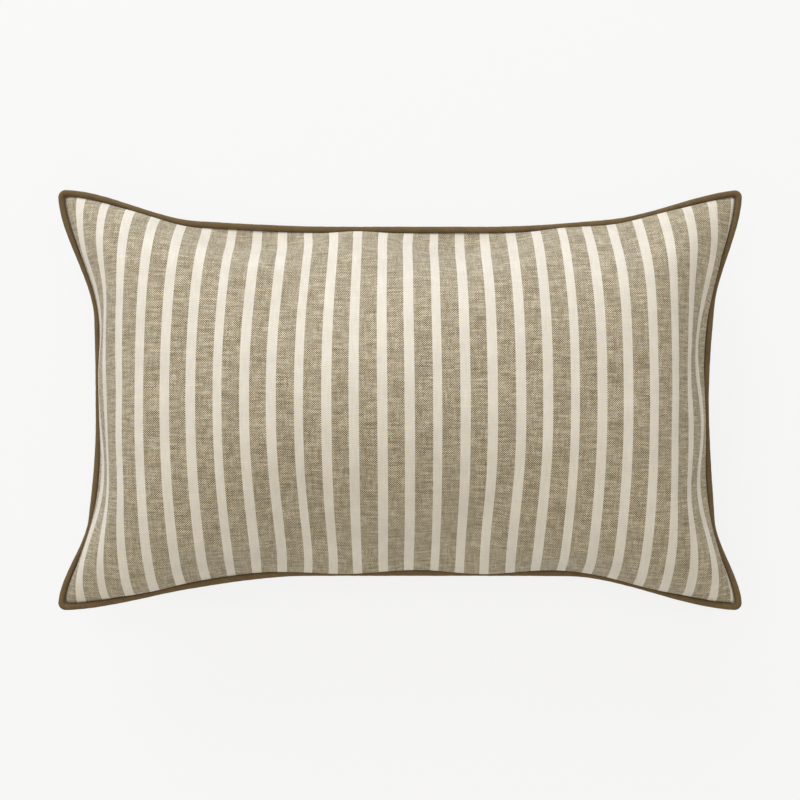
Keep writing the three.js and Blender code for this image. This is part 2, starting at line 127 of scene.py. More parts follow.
# %% Helpers for node trees
class Finish:
    """A material on the Principled shader, with short helpers for its node tree."""

    def __init__(self, name, **constants):
        self.material = bpy.data.materials.new(name)
        self.material.use_nodes = True
        self.tree = self.material.node_tree
        self.shader = self.tree.nodes["Principled BSDF"]
        for socket, value in constants.items():
            self.shader.inputs[socket.replace("_", " ")].default_value = value

    def feed(self, value, socket):
        if isinstance(value, bpy.types.NodeSocket):
            self.tree.links.new(value, socket)
        else:
            socket.default_value = value

    def sum(self, operation, *values):
        node = self.tree.nodes.new("ShaderNodeMath")
        node.operation = operation
        for value, socket in zip(values, node.inputs):
            self.feed(value, socket)
        return node.outputs[0]

    def between(self, value, low, high, to_low=0.0, to_high=1.0):
        """Smoothly from to_low, where value is low, to to_high, where it is high."""
        node = self.tree.nodes.new("ShaderNodeMapRange")
        node.interpolation_type = "SMOOTHSTEP"
        for number, socket in zip((value, low, high, to_low, to_high), node.inputs):
            self.feed(number, socket)
        return node.outputs[0]

    def point(self, x, y, z=0.0):
        node = self.tree.nodes.new("ShaderNodeCombineXYZ")
        for value, socket in zip((x, y, z), node.inputs):
            self.feed(value, socket)
        return node.outputs[0]

    def noise(self, at, scale, detail=2.0):
        node = self.tree.nodes.new("ShaderNodeTexNoise")
        self.feed(at, node.inputs["Vector"])
        node.inputs["Scale"].default_value = scale
        node.inputs["Detail"].default_value = detail
        return node.outputs[0]

    def mix(self, share, first, second, how="MIX"):
        node = self.tree.nodes.new("ShaderNodeMix")
        node.data_type = "RGBA"
        node.blend_type = how
        for value, socket in ((share, node.inputs[0]), (first, node.inputs[6]), (second, node.inputs[7])):
            self.feed(value, socket)
        return node.outputs[2]

    def shade(self, colour, amount):
        """The colour made lighter or darker by a number near 1."""
        return self.mix(1.0, colour, self.point(amount, amount, amount), "MULTIPLY")

    def on_cloth(self):
        """Places on the flat cloth, in metres."""
        node = self.tree.nodes.new("ShaderNodeUVMap")
        node.uv_map = "cloth"
        return self.split(node.outputs[0])

    def on_object(self):
        node = self.tree.nodes.new("ShaderNodeTexCoord")
        return self.split(node.outputs["Object"])

    def split(self, at):
        node = self.tree.nodes.new("ShaderNodeSeparateXYZ")
        self.tree.links.new(at, node.inputs[0])
        return tuple(node.outputs)

    def done(self, colour, roughness, height, depth, strength=0.5):
        """Joins the pattern to the shader. depth is the height's real size in metres."""
        self.feed(colour, self.shader.inputs["Base Color"])
        self.feed(roughness, self.shader.inputs["Roughness"])
        bump = self.tree.nodes.new("ShaderNodeBump")
        bump.inputs["Strength"].default_value = strength
        bump.inputs["Distance"].default_value = depth
        self.feed(height, bump.inputs["Height"])
        self.feed(bump.outputs[0], self.shader.inputs["Normal"])
        return self.material


def from_screen(red, green, blue):
    """A colour as seen, 0 to 255, in the linear values that a shader wants."""
    lift = lambda c: c / 12.92 if c <= 0.04045 else ((c + 0.055) / 1.055) ** 2.4
    return (*[lift(c / 255) for c in (red, green, blue)], 1)


# %% [markdown]
# ## Threads that cross
# A plain weave is a chequer: at every other crossing the thread along the cloth lies on top. The product of
# two cosines has just that pattern, with rounded hills on both kinds of crossing. Real yarn is not even, so
# each thread gets its own number, and a noise drawn along that number makes one thread thicker, thinner or
# paler than the next. Those are the slubs that give such a cloth its look.


# %% The crossing of two sets of threads
def crossings(finish, x, y, pitch, slub_length):
    """A plain weave. Gives which set is on top, the height, and a number from 0 to 1 along each thread."""
    wander = finish.sum("MULTIPLY", finish.noise(finish.point(x, y), 0.09 / pitch), 0.5 * pitch)
    x, y = finish.sum("ADD", x, wander), finish.sum("ADD", y, wander)
    threads = []
    for across, along in ((x, y), (y, x)):
        own = finish.sum("ROUND", finish.sum("DIVIDE", across, pitch))
        place = finish.point(finish.sum("MULTIPLY", own, 7.31), finish.sum("DIVIDE", along, slub_length))
        threads.append(finish.noise(place, 1.0, 3.0))
    waves = [finish.sum("COSINE", finish.sum("MULTIPLY", line, math.pi / pitch)) for line in (x, y)]
    hills = finish.sum("MULTIPLY", *waves)
    lean = finish.sum("MULTIPLY", finish.sum("SUBTRACT", threads[0], threads[1]), 1.1)
    on_top = finish.between(finish.sum("ADD", hills, lean), -0.18, 0.12)
    height = finish.sum("POWER", finish.sum("ABSOLUTE", hills), 0.6)
    return on_top, height, threads[0], threads[1]


# %% [markdown]
# ## The striped cloth
# The stripes are woven in, not printed: the threads along the short way change from olive to cream, and the
# threads across are pale all over. So an olive stripe is a chequer of olive and pale, with toothed edges, and
# a cream one is almost plain. A little sheen stands for the fuzz of the yarn.

# %% Striped cloth
COVER = np.array([560.0, 350.0]) * MM  # the cover's size when flat
THREAD = 0.86 * MM
REPEATS = 26.7  # how many stripe repeats the cover is wide
FIRST_CREAM = 0.52  # where the first cream stripe starts, in repeats
CREAM_SHARE = 0.36
OLIVE_YARN = from_screen(91, 75, 37)
CREAM_YARN = from_screen(234, 230, 224)
PALE_YARN = from_screen(222, 211, 186)


def striped_cloth():
    finish = Finish("striped_weave", Sheen_Weight=0.1, Sheen_Roughness=0.5, Specular_IOR_Level=0.25)
    x, y, _ = finish.on_cloth()
    on_top, height, warp, weft = crossings(finish, x, y, THREAD, 14 * MM)
    thread_x = finish.sum("MULTIPLY", finish.sum("ROUND", finish.sum("DIVIDE", x, THREAD)), THREAD)
    repeat = COVER[0] / REPEATS
    place = finish.sum("FRACT", finish.sum("SUBTRACT", finish.sum("DIVIDE", thread_x, repeat), FIRST_CREAM))
    in_cream = finish.sum("LESS_THAN", place, CREAM_SHARE)
    uneven_olive = finish.shade(OLIVE_YARN, finish.between(warp, 0.25, 0.75, 0.72, 1.28))
    uneven_cream = finish.shade(CREAM_YARN, finish.between(warp, 0.25, 0.75, 0.97, 1.03))
    warp_colour = finish.mix(in_cream, uneven_olive, uneven_cream)
    weft_colour = finish.shade(PALE_YARN, finish.between(weft, 0.25, 0.75, 0.88, 1.12))
    mottle = finish.between(finish.noise(finish.point(x, y), 42, 4.0), 0.3, 0.7, 0.96, 1.04)
    grain = finish.between(finish.noise(finish.point(x, y), 1 / (0.9 * MM), 1.0), 0.3, 0.7, 0.84, 1.16)
    grain = finish.sum("ADD", grain, finish.sum("MULTIPLY", in_cream, finish.sum("SUBTRACT", 1.0, grain)))
    nubs = finish.between(finish.noise(finish.point(x, y), 1 / (3 * MM), 1.0), 0.71, 0.76, 0.0, 0.5)
    colour = finish.shade(finish.mix(on_top, weft_colour, warp_colour), finish.sum("MULTIPLY", mottle, grain))
    colour = finish.mix(nubs, colour, PALE_YARN)
    # Painted shade: the colour is darkened where the weave is low, between the threads.
    painted_thread_shade = finish.between(height, 0.0, 0.5, 0.84, 1.0)
    raised = finish.sum("ADD", height, finish.sum("MULTIPLY", weft, 0.8))
    return finish.done(finish.shade(colour, painted_thread_shade), 0.88, raised, 0.22 * MM, 0.7)


# %% [markdown]
# ## The piping's cloth
# Piping is covered with a strip cut on the slant, so that it bends round corners without creases. Its
# threads therefore run at 45 degrees to the cord. Turning the coordinates by 45 degrees before weaving them
# does the same.


# %% Plain cloths, straight or on the slant
def plain_cloth(name, along, across, pitch, slant=False, slub=9 * MM, sheen=0.1, mottle_by=0.08):
    finish = Finish(name, Sheen_Weight=sheen, Sheen_Roughness=0.5, Specular_IOR_Level=0.25)
    x, y, _ = finish.on_cloth()
    if slant:
        half = math.sqrt(0.5)
        x, y = (
            finish.sum("MULTIPLY", finish.sum("ADD", x, y), half),
            finish.sum("MULTIPLY", finish.sum("SUBTRACT", x, y), half),
        )
    on_top, height, warp, weft = crossings(finish, x, y, pitch, slub)
    first = finish.shade(along, finish.between(warp, 0.25, 0.75, 0.78, 1.22))
    second = finish.shade(across, finish.between(weft, 0.25, 0.75, 0.8, 1.2))
    mottle = finish.between(finish.noise(finish.point(x, y), 60, 3.0), 0.3, 0.7, 1 - mottle_by, 1 + mottle_by)
    colour = finish.shade(finish.mix(on_top, second, first), mottle)
    # Painted shade: the colour is darkened where the weave is low, in the gaps between the threads.
    gaps = finish.between(height, 0.0, 0.5, 0.7, 1.0)
    return finish.done(finish.shade(colour, gaps), 0.86, height, 0.2 * MM, 0.6)


striped = striped_cloth()
piping_weave = plain_cloth("piping_weave", from_screen(104, 85, 55), from_screen(114, 95, 63), 0.7 * MM, slant=True)
ticking = plain_cloth("ticking_weave", from_screen(238, 236, 230), from_screen(228, 226, 220), 0.45 * MM)
satin = plain_cloth("satin_ribbon", from_screen(240, 238, 232), from_screen(231, 229, 222), 0.22 * MM, sheen=0.3)
print("woven finishes:", striped.name, piping_weave.name, ticking.name, satin.name)

# %% [markdown]
# ## The line of the seam
# Flat on the table the cover is a plain rectangle. Stuffing it draws the middle of each edge inwards, while
# the corners stay out as ears, each a little different from the next. Every piece along the seam is placed
# by one function that moves a point of the plain rectangle to where the stuffing has drawn it.

# %% How each edge bows in
HALF = np.array([267.55, 163.55]) * MM  # from the middle to the piping's centre line, unstuffed
BOW = {  # how deep in mm, then the ear at the low end and the ear at the high end
    "top": (29.5, (109, 2.0, 0.29, 220), (104, 1.44, 0.40, 199)),
    "bottom": (27.5, (198, 1.9, 0.20, 104), (137, 1.85, 0.04, 200)),
    "left": (30.3, (71, 2.0, 0.37, 145), (101, 1.97, 0.12, 165)),
    "right": (26.8, (70, 2.0, 0.30, 165), (91, 2.0, 0.40, 165)),
}
CORNER_DROOP = 5.0 * MM
LEVEL_SHARE = 0.66


def smooth(t):
    t = np.clip(t, 0, 1)
    return t * t * (3 - 2 * t)


def ear_rise(distance, ear):
    """From 0 at a corner to 1 past its ear: a quick rise with a blunt start, and a share that rises slowly."""
    length, blunt, slow_share, slow_length = ear
    t = np.clip(distance / (length * MM), 0, 1)
    quick_rise = 1 - (1 - t) ** 2 * (1 + blunt * t)
    return (1 - slow_share) * quick_rise + slow_share * smooth(distance / (slow_length * MM))


def bowed(edge, at, half):
    """How far an edge has moved in, at places along it."""
    depth, low, high = BOW[edge]
    return depth * MM * ear_rise(half + at, low) * ear_rise(half - at, high)


def drawn_in(x, y):
    """Moves points of the plain rectangle to where the stuffed pillow has them."""
    in_y = np.where(y > 0, bowed("top", x, HALF[0]), bowed("bottom", x, HALF[0]))
    in_x = np.where(x > 0, bowed("right", y, HALF[1]), bowed("left", y, HALF[1]))
    share_x, share_y = x / HALF[0], y / HALF[1]
    return x - in_x * share_x * (3 - share_x**2) / 2, y - in_y * share_y * (3 - share_y**2) / 2


def seam_point(x, y, up=0.0):
    """Points of the plain rectangle, moved onto the surface that the seam lies in."""
    ear = smooth((np.abs(x) / HALF[0] - LEVEL_SHARE) / (1 - LEVEL_SHARE))
    droop = CORNER_DROOP * ear * smooth(np.abs(y) / HALF[1])
    px, py = drawn_in(x, y)
    return np.stack([px, py, seam_height - droop + up + 0 * px], -1)


middle_in = bowed("top", np.zeros(1), HALF[0])[0]
print("the long edge's middle comes in by mm:", round(middle_in / MM, 1))

# %% [markdown]
# ## One way to make every woven piece
# The panels, the piping, the label and the tapes are all grids of points: rows along the piece, columns
# across it. One helper turns such a grid into a mesh, closes it where it goes round, and lays the flat cloth
# map over it in metres, so that a thread is the same size on every piece.


# %% A mesh from a grid of points
def cloth_mesh(
    name, points, along, across, round_along=False, round_across=False, turned=False, left_out=None, creased=None
):
    """points is rows x columns x 3. along and across are the flat places of the rows and columns."""
    rows, columns = points.shape[:2]
    row, column = np.meshgrid(
        np.arange(rows - (not round_along)), np.arange(columns - (not round_across)), indexing="ij"
    )
    row, column = row.ravel(), column.ravel()
    if left_out is not None:
        keep = ~left_out(row, column)
        row, column = row[keep], column[keep]
    steps = [(0, 0), (1, 0), (1, 1), (0, 1)]
    if turned:
        steps.reverse()
    corners = [((row + i) % rows) * columns + (column + j) % columns for i, j in steps]
    places = [(along[row + i], across[column + j]) for i, j in steps]
    quads = np.stack(corners, -1)
    used, renumbered = np.unique(quads, return_inverse=True)
    mesh = bpy.data.meshes.new(name)
    flat_list = points.reshape(-1, 3)[used]
    mesh.from_pydata(flat_list.tolist(), [], renumbered.reshape(quads.shape).tolist())
    cloth_map = mesh.uv_layers.new(name="cloth")
    flat = np.stack([np.stack([a, b], -1) for a, b in places], 1)
    cloth_map.uv.foreach_set("vector", flat.astype(np.float32).ravel())
    if creased is not None:
        ends = np.zeros(len(mesh.edges) * 2, int)
        mesh.edges.foreach_get("vertices", ends)
        both = creased.ravel()[used][ends].reshape(-1, 2).all(axis=1)
        mesh.attributes.new("crease_edge", "FLOAT", "EDGE").data.foreach_set("value", both.astype(np.float32))
    mesh.shade_smooth()
    piece = bpy.data.objects.new(name, mesh)
    scene.collection.objects.link(piece)
    return piece


def thicken(piece, thickness, offset):
    wall = piece.modifiers.new("thickness", "SOLIDIFY")
    wall.thickness = thickness
    wall.offset = offset
    wall.use_even_offset = True
    wall.thickness_clamp = 1.2


def round_off(piece, levels=1):
    finer = piece.modifiers.new("finer", "SUBSURF")
    finer.levels = finer.render_levels = levels


def hand_over(piece, body, slot, material, *nodes):
    """Gives a finished piece its material and its body, and hides the CAD nodes it stands for. slot is not used."""
    if not piece.data.materials:
        piece.data.materials.append(material)
    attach(piece, body)
    if nodes:
        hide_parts(*nodes)
    finished = piece.evaluated_get(bpy.context.evaluated_depsgraph_get()).data
    print(piece.name, "on", body, "faces:", len(finished.polygons))


# %% [markdown]
# ## Stuffing the cover
# How a stuffed cover looks comes from one fact: cloth bends easily and hardly stretches. A crown drawn by
# formula has the outline right, but it stretches the stripes. So each panel starts as the flat sheet that was
# cut, and a cloth simulation does what the maker does: the seam is drawn in to its stuffed line while
# pressure fills the panel. The stripes then crowd together and curve by themselves. The seam is pinned, so
# the two panels still meet exactly.

# %% The flat panel and its seam
CELLS = (96, 60)
PANEL_INSET = 2.6 * MM  # from the piping's centre line to the panels' edge
SEAM_LAYER = 0.8 * MM  # each panel lies this far from the middle of the seam
CORNER_CUT = 0.5 * MM  # the seam goes round each corner
U, V = np.meshgrid(np.linspace(-1, 1, CELLS[0] + 1), np.linspace(-1, 1, CELLS[1] + 1), indexing="ij")


def panel_seam(side, inset=PANEL_INSET):
    corner = (np.abs(U) == 1) & (np.abs(V) == 1)
    reach = HALF[:, None, None] - inset - corner * CORNER_CUT
    return seam_point(U * reach[0], V * reach[1], side * SEAM_LAYER)


def flat_panel(side):
    belly = 12 * MM * (1 - U**4) * (1 - V**2)
    return np.stack([U * COVER[0] / 2, V * COVER[1] / 2, seam_height + side * (SEAM_LAYER + belly)], -1)


# %% Draw in the seam and fill the panel
SEWN_BY = 20  # the frame by which the seam is drawn in
SETTLED_BY = 76


def pinned_sheet(side):
    """A flat sheet whose edge is pinned, with a shape key that draws the edge in."""
    number = np.arange(U.size).reshape(U.shape)
    quads = np.stack([number[:-1, :-1], number[1:, :-1], number[1:, 1:], number[:-1, 1:]], -1).reshape(-1, 4)
    mesh = bpy.data.meshes.new("sheet")
    mesh.from_pydata(flat_panel(side).reshape(-1, 3).tolist(), [], (quads if side > 0 else quads[:, ::-1]).tolist())
    sheet = bpy.data.objects.new("sheet", mesh)
    scene.collection.objects.link(sheet)
    on_seam = (np.abs(U) == 1) | (np.abs(V) == 1)
    sheet.vertex_groups.new(name="seam").add(np.flatnonzero(on_seam).tolist(), 1.0, "REPLACE")
    sheet.shape_key_add(name="flat")
    drawn = sheet.shape_key_add(name="sewn")
    drawn.data.foreach_set("co", panel_seam(side).astype(np.float32).ravel())
    for value, at in ((0, 1), (1, SEWN_BY)):
        drawn.value = value
        drawn.keyframe_insert("value", frame=at)
    return sheet


def stuffed_panel(side):
    """Points of the stuffed panel, as a grid. side is 1 for the front and -1 for the back."""
    sheet = pinned_sheet(side)
    stuffing = sheet.modifiers.new("stuffing", "CLOTH")
    cloth = stuffing.settings
    cloth.quality = 6
    cloth.mass = 0.3
    cloth.air_damping = 2.5
    cloth.tension_stiffness = cloth.compression_stiffness = 25
    cloth.shear_stiffness = 3
    cloth.bending_stiffness = 0.8
    cloth.vertex_group_mass = "seam"
    cloth.use_pressure = True
    cloth.uniform_pressure_force = 4
    cloth.effector_weights.gravity = 0
    stuffing.collision_settings.use_collision = False
    stuffing.point_cache.frame_end = scene.frame_end = SETTLED_BY
    for at in range(1, SETTLED_BY + 1):
        scene.frame_set(at)
    settled = sheet.evaluated_get(bpy.context.evaluated_depsgraph_get()).data
    points = np.zeros(U.size * 3)
    settled.vertices.foreach_get("co", points)
    bpy.data.objects.remove(sheet)
    scene.frame_set(1)
    return points.reshape(*U.shape, 3)


# %% [markdown]
# ## Smoothing out the creases
# A simulated sheet gathers into creases all along the seam. Real filling is soft and springy and presses
# most of them out, except in the ears, where little filling reaches. So the panel is eased: again and again,
# each point moves towards the mean of its neighbours. The seam itself stays, and easing across an edge fades
# out near it, so the ears keep their faint puckers.

# %% Ease the panels
EASED = 16


def eased(points):
    points = points.copy()
    loose = [(1 - np.abs(line) ** 5)[..., None] for line in (U, V)]
    for _ in range(EASED):
        for axis in (0, 1):
            turned = np.moveaxis(points, axis, 0)
            share = np.moveaxis(loose[axis], axis, 0)[1:-1, 1:-1]
            mean = (turned[:-2, 1:-1] + 2 * turned[1:-1, 1:-1] + turned[2:, 1:-1]) / 4
            turned[1:-1, 1:-1] += (mean - turned[1:-1, 1:-1]) * share
    return points


# %% [markdown]
# ## A full edge
# A tightly filled pillow bulges over its piping. The upper edge here is the least full, and the other three
# hide part of the piping's width under a soft roll. So the front's wall is pushed outwards just above the
# seam, with the push fading away towards the crown and into the ears.

# %% Roll the front over the piping
FULLNESS = {"top": 0.6, "bottom": 3.1, "left": 1.6, "right": 2.1}  # mm of push just above the seam
ROLL_START, ROLL_END = 6 * MM, 55 * MM  # distances from the seam, over the cloth


def rolled_over(points):
    points = points.copy()
    from_seam = {
        "top": (1 - V) * COVER[1] / 2,
        "bottom": (1 + V) * COVER[1] / 2,
        "left": (1 + U) * COVER[0] / 2,
        "right": (1 - U) * COVER[0] / 2,
    }
    for edge, distance in from_seam.items():
        upright = edge in ("left", "right")
        away_from_ears = 1 - np.abs(V if upright else U) ** 6
        push = smooth(distance / ROLL_START) * smooth((ROLL_END - distance) / (ROLL_END - ROLL_START))
        sign = 1 if edge in ("top", "right") else -1
        points[..., 0 if upright else 1] += sign * FULLNESS[edge] * MM * push * away_from_ears
    return points


front_points = rolled_over(eased(stuffed_panel(1)))
back_points = eased(stuffed_panel(-1))
middle = (CELLS[0] // 2, CELLS[1] // 2)
arc = np.linalg.norm(np.diff(front_points[middle[0]], axis=0), axis=-1).sum()
crown_rise = front_points[middle][2] - seam_height
print("front crown in mm:", round(crown_rise / MM, 1), "cloth over it:", round(arc / MM, 1))

# %% [markdown]
# ## The back lies on the table
# The pillow's own weight presses the back flat where it rests. A soft limit does that: it leaves high points
# alone and bends low ones gently towards the table. Along the lower edge the zip's tape is sewn behind the
# cloth and holds that wall upright, so there the cloth follows a set profile. It goes back to its free shape
# lower down and past the opening's ends.

# %% Press the back flat and stiffen the zip's wall
PRESS = 4.0 * MM  # over this height the cloth goes from hanging free to lying flat
PULL_ROOM = 6 * MM  # more length at the closed end, where the swung pull reaches past the tape
OPENING = (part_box("zip_tape_lower")[0].x - 8 * MM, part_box("zip_tape_lower")[1].x + 8 * MM + PULL_ROOM)
ZIP_WALL = np.array([(0, 0), (0.9, 5.5), (1.9, 11), (3.9, 21), (8.5, 31), (15.5, 41), (25, 50)]) * MM  # (in, down)
WALL_FADE = 30 * MM  # how far past the opening's ends the wall goes back to its free shape
HELD_ROWS, FREE_ROWS = 4, 9  # rows below the seam that the tape holds, and rows by which the cloth is free


def pressed_flat(height, lowest):
    return lowest + PRESS * np.log1p(np.exp((height - lowest) / PRESS))


def with_zip_wall(points):
    steps = np.linalg.norm(np.diff(ZIP_WALL, axis=0), axis=-1)
    along_wall = np.concatenate([[0], np.cumsum(steps)])
    row = np.arange(FREE_ROWS)
    place = row * COVER[1] / CELLS[1]
    inwards, down = (np.interp(place, along_wall, ZIP_WALL[:, axis]) for axis in (0, 1))
    edge = points[:, :1]
    held = edge + np.stack([0 * down, inwards, -down], -1)
    x = edge[..., 0]
    by_place = smooth((x - OPENING[0]) / WALL_FADE + 1) * smooth((OPENING[1] - x) / WALL_FADE + 1)
    share = (by_place * smooth((FREE_ROWS - row) / (FREE_ROWS - HELD_ROWS)))[..., None]
    pushed = points.copy()
    pushed[:, :FREE_ROWS, 1:] += (share * (held - points[:, :FREE_ROWS]))[..., 1:]
    return pushed


back_points = with_zip_wall(back_points)
back_points[..., 2] = pressed_flat(back_points[..., 2], 0)
print("back's lowest point in mm:", round(back_points[..., 2].min() / MM, 2))

# %% [markdown]
# ## The cover
# Each panel is cut larger than the seam, and the spare cloth, the seam allowance, is turned in and lies along
# the piping. So one more row of points goes round the grid, turned inwards at the seam. The fold is creased,
# which keeps it sharp when the mesh is made finer, and the cloth gets its thickness on the inside. In the
# back panel the lower seam is left open along the zip, where the cloth's edge stands clear of it.

# %% Front and back panels
ALLOWANCE = 8 * MM
CLOTH_THICKNESS = 0.8 * MM
OPEN_ROWS = 2  # rows of cloth between the seam and the zip opening's edge


def with_allowance(points, side):
    """The grid with one more row all round, turned in at the seam."""
    inner = panel_seam(side, PANEL_INSET + ALLOWANCE)
    full = np.pad(points, ((1, 1), (1, 1), (0, 0)), mode="edge")
    edge = np.pad(inner, ((1, 1), (1, 1), (0, 0)), mode="edge")
    full[0], full[-1] = edge[0], edge[-1]
    full[:, 0], full[:, -1] = edge[:, 0], edge[:, -1]
    return full


def cover_panel(name, points, side, left_out=None):
    along = np.concatenate([[-ALLOWANCE], np.linspace(0, COVER[0], CELLS[0] + 1), [COVER[0] + ALLOWANCE]])
    across = np.concatenate([[-ALLOWANCE], np.linspace(0, COVER[1], CELLS[1] + 1), [COVER[1] + ALLOWANCE]])
    seam_ring = np.pad((np.abs(U) == 1) | (np.abs(V) == 1), 1)
    piece = cloth_mesh(
        name, with_allowance(points, side), along, across, turned=side < 0, left_out=left_out, creased=seam_ring
    )
    round_off(piece)
    thicken(piece, CLOTH_THICKNESS, -1)
    return piece


def in_opening(row, column):
    """The faces that the zip opening takes out of the back panel."""
    edge_x = back_points[:, 0, 0]
    inside = (edge_x > OPENING[0]) & (edge_x < OPENING[1])
    opened = np.concatenate([[False], inside[:-1] & inside[1:], [False], [False]])
    return opened[row] & (column <= OPEN_ROWS)


front_cover = cover_panel("front_cover", front_points, 1)
back_cover = cover_panel("back_cover", back_points, -1, in_opening)
hand_over(front_cover, PILLOW, "striped_cloth", striped, "front_panel")
hand_over(back_cover, PILLOW, "striped_cloth", striped, "back_panel")
opening_edge = back_points[:, OPEN_ROWS]
print("zip opening's edge in mm:", np.round(opening_edge[middle[0]] / MM, 1), "x", np.round(np.array(OPENING) / MM, 1))

# %% [markdown]
# ## The piping
# Piping is a strip of cloth folded round a cord, with its two tails caught in the seam. Its section is a
# keyhole: round outside and in, and two thin tails. Each point of the section sits at its own distance in
# from the piping's centre line, and the seam function places a whole loop of them at once, so the piping
# follows the ears exactly. The cord's strands show faintly through the cloth, as slanting swellings.

# %% A loop round the pillow at any distance in
CORNER_RADIUS = 4 * MM
CORNER_STEPS = 8
SIDE_STEPS = (230, 132)
CORNERS = np.array([(-1, -1), (1, -1), (1, 1), (-1, 1)])
OUTWARDS = np.array([(0, -1), (1, 0), (0, 1), (-1, 0)])


def loop_round(inset, up):
    """A loop of points, this far in from the piping's centre line and this far up, from the lower left."""
    half = HALF - inset
    radius = max(CORNER_RADIUS - inset, 0.2 * MM)
    parts = []
    for side in range(4):
        start, end = CORNERS[side] * (half - radius), CORNERS[(side + 1) % 4] * (half - radius)
        share = np.linspace(0, 1, SIDE_STEPS[side % 2], endpoint=False)[:, None]
        turn = (side - 1) * math.pi / 2 + np.linspace(0, math.pi / 2, CORNER_STEPS, endpoint=False)
        parts.append(start + (end - start) * share + OUTWARDS[side] * radius)
        parts.append(end + radius * np.stack([np.cos(turn), np.sin(turn)], -1))
    flat = np.concatenate(parts)
    return seam_point(flat[:, 0], flat[:, 1], up)


centre_line = loop_round(0, 0)
gaps = np.linalg.norm(np.roll(centre_line, -1, axis=0) - centre_line, axis=-1)
seam_length = gaps.sum()
seam_place = np.concatenate([[0], np.cumsum(gaps)])
print("piping is mm long:", round(seam_length / MM), "points:", len(centre_line))

# %% The keyhole section and the finished piping
PIPING_RADIUS = 2.45 * MM
PIPING_WALL = 0.7 * MM
TAIL = (0.06 * MM, 0.44 * MM)  # the near and far face of each tail, from the middle of the seam
TAIL_LENGTH = 8 * MM
CORD_LAY = 9 * MM  # one turn of the cord's strands


def arc_points(radius, start, end, count):
    angle = np.linspace(start, end, count)
    return np.stack([radius * np.cos(angle), radius * np.sin(angle)], -1)


def keyhole():
    """Points of the section as (distance in, distance up), once round it."""
    near, far = TAIL
    inside = PIPING_RADIUS - PIPING_WALL
    tail_end = PIPING_RADIUS + TAIL_LENGTH
    meets = math.asin(far / PIPING_RADIUS)
    opens = math.asin(near / inside)
    outer = arc_points(PIPING_RADIUS, meets, 2 * math.pi - meets, 30)
    inner = arc_points(inside, 2 * math.pi - opens, opens, 20)
    lower_tail = [(tail_end, -far), (tail_end, -near)]
    upper_tail = [(tail_end, near), (tail_end, far)]
    return np.concatenate([outer, lower_tail, inner, upper_tail])


def swelling(angle):
    """How much the cloth stands out over the strands, as a share of the radius."""
    turns = round(seam_length / CORD_LAY)
    at = 2 * math.pi * seam_place[:-1] / seam_length
    strands = 0.014 * np.cos(3 * angle - turns * at)
    uneven = 0.014 * np.sin(37 * at) + 0.012 * np.sin(83 * at + 1.3) + 0.008 * np.sin(211 * at + angle)
    return strands + uneven


section = keyhole()
rings = []
for distance_in, up in section:
    ring = loop_round(distance_in, up)
    if math.hypot(distance_in, up) < PIPING_RADIUS * 1.01:
        ring += (ring - centre_line) * swelling(math.atan2(up, distance_in))[:, None]
    rings.append(ring)
section_gaps = np.linalg.norm(np.roll(section, -1, axis=0) - section, axis=-1)
section_place = np.concatenate([[0], np.cumsum(section_gaps)])
piping = cloth_mesh(
    "piping", np.stack(rings, 1), seam_place, section_place, round_along=True, round_across=True, turned=True
)
hand_over(piping, PILLOW, "piping_cloth", piping_weave, "piping_cover")

# %% [markdown]
# ## Geometry Nodes for what repeats
# Strands, zip teeth and stitches are one small shape repeated along a path. Geometry Nodes do that well: the
# path goes in, the tree lays the shape along it, and the sizes are named inputs. Each tree ends with its
# instances made real and its material set. The result is turned into a plain mesh, so nothing is left live.


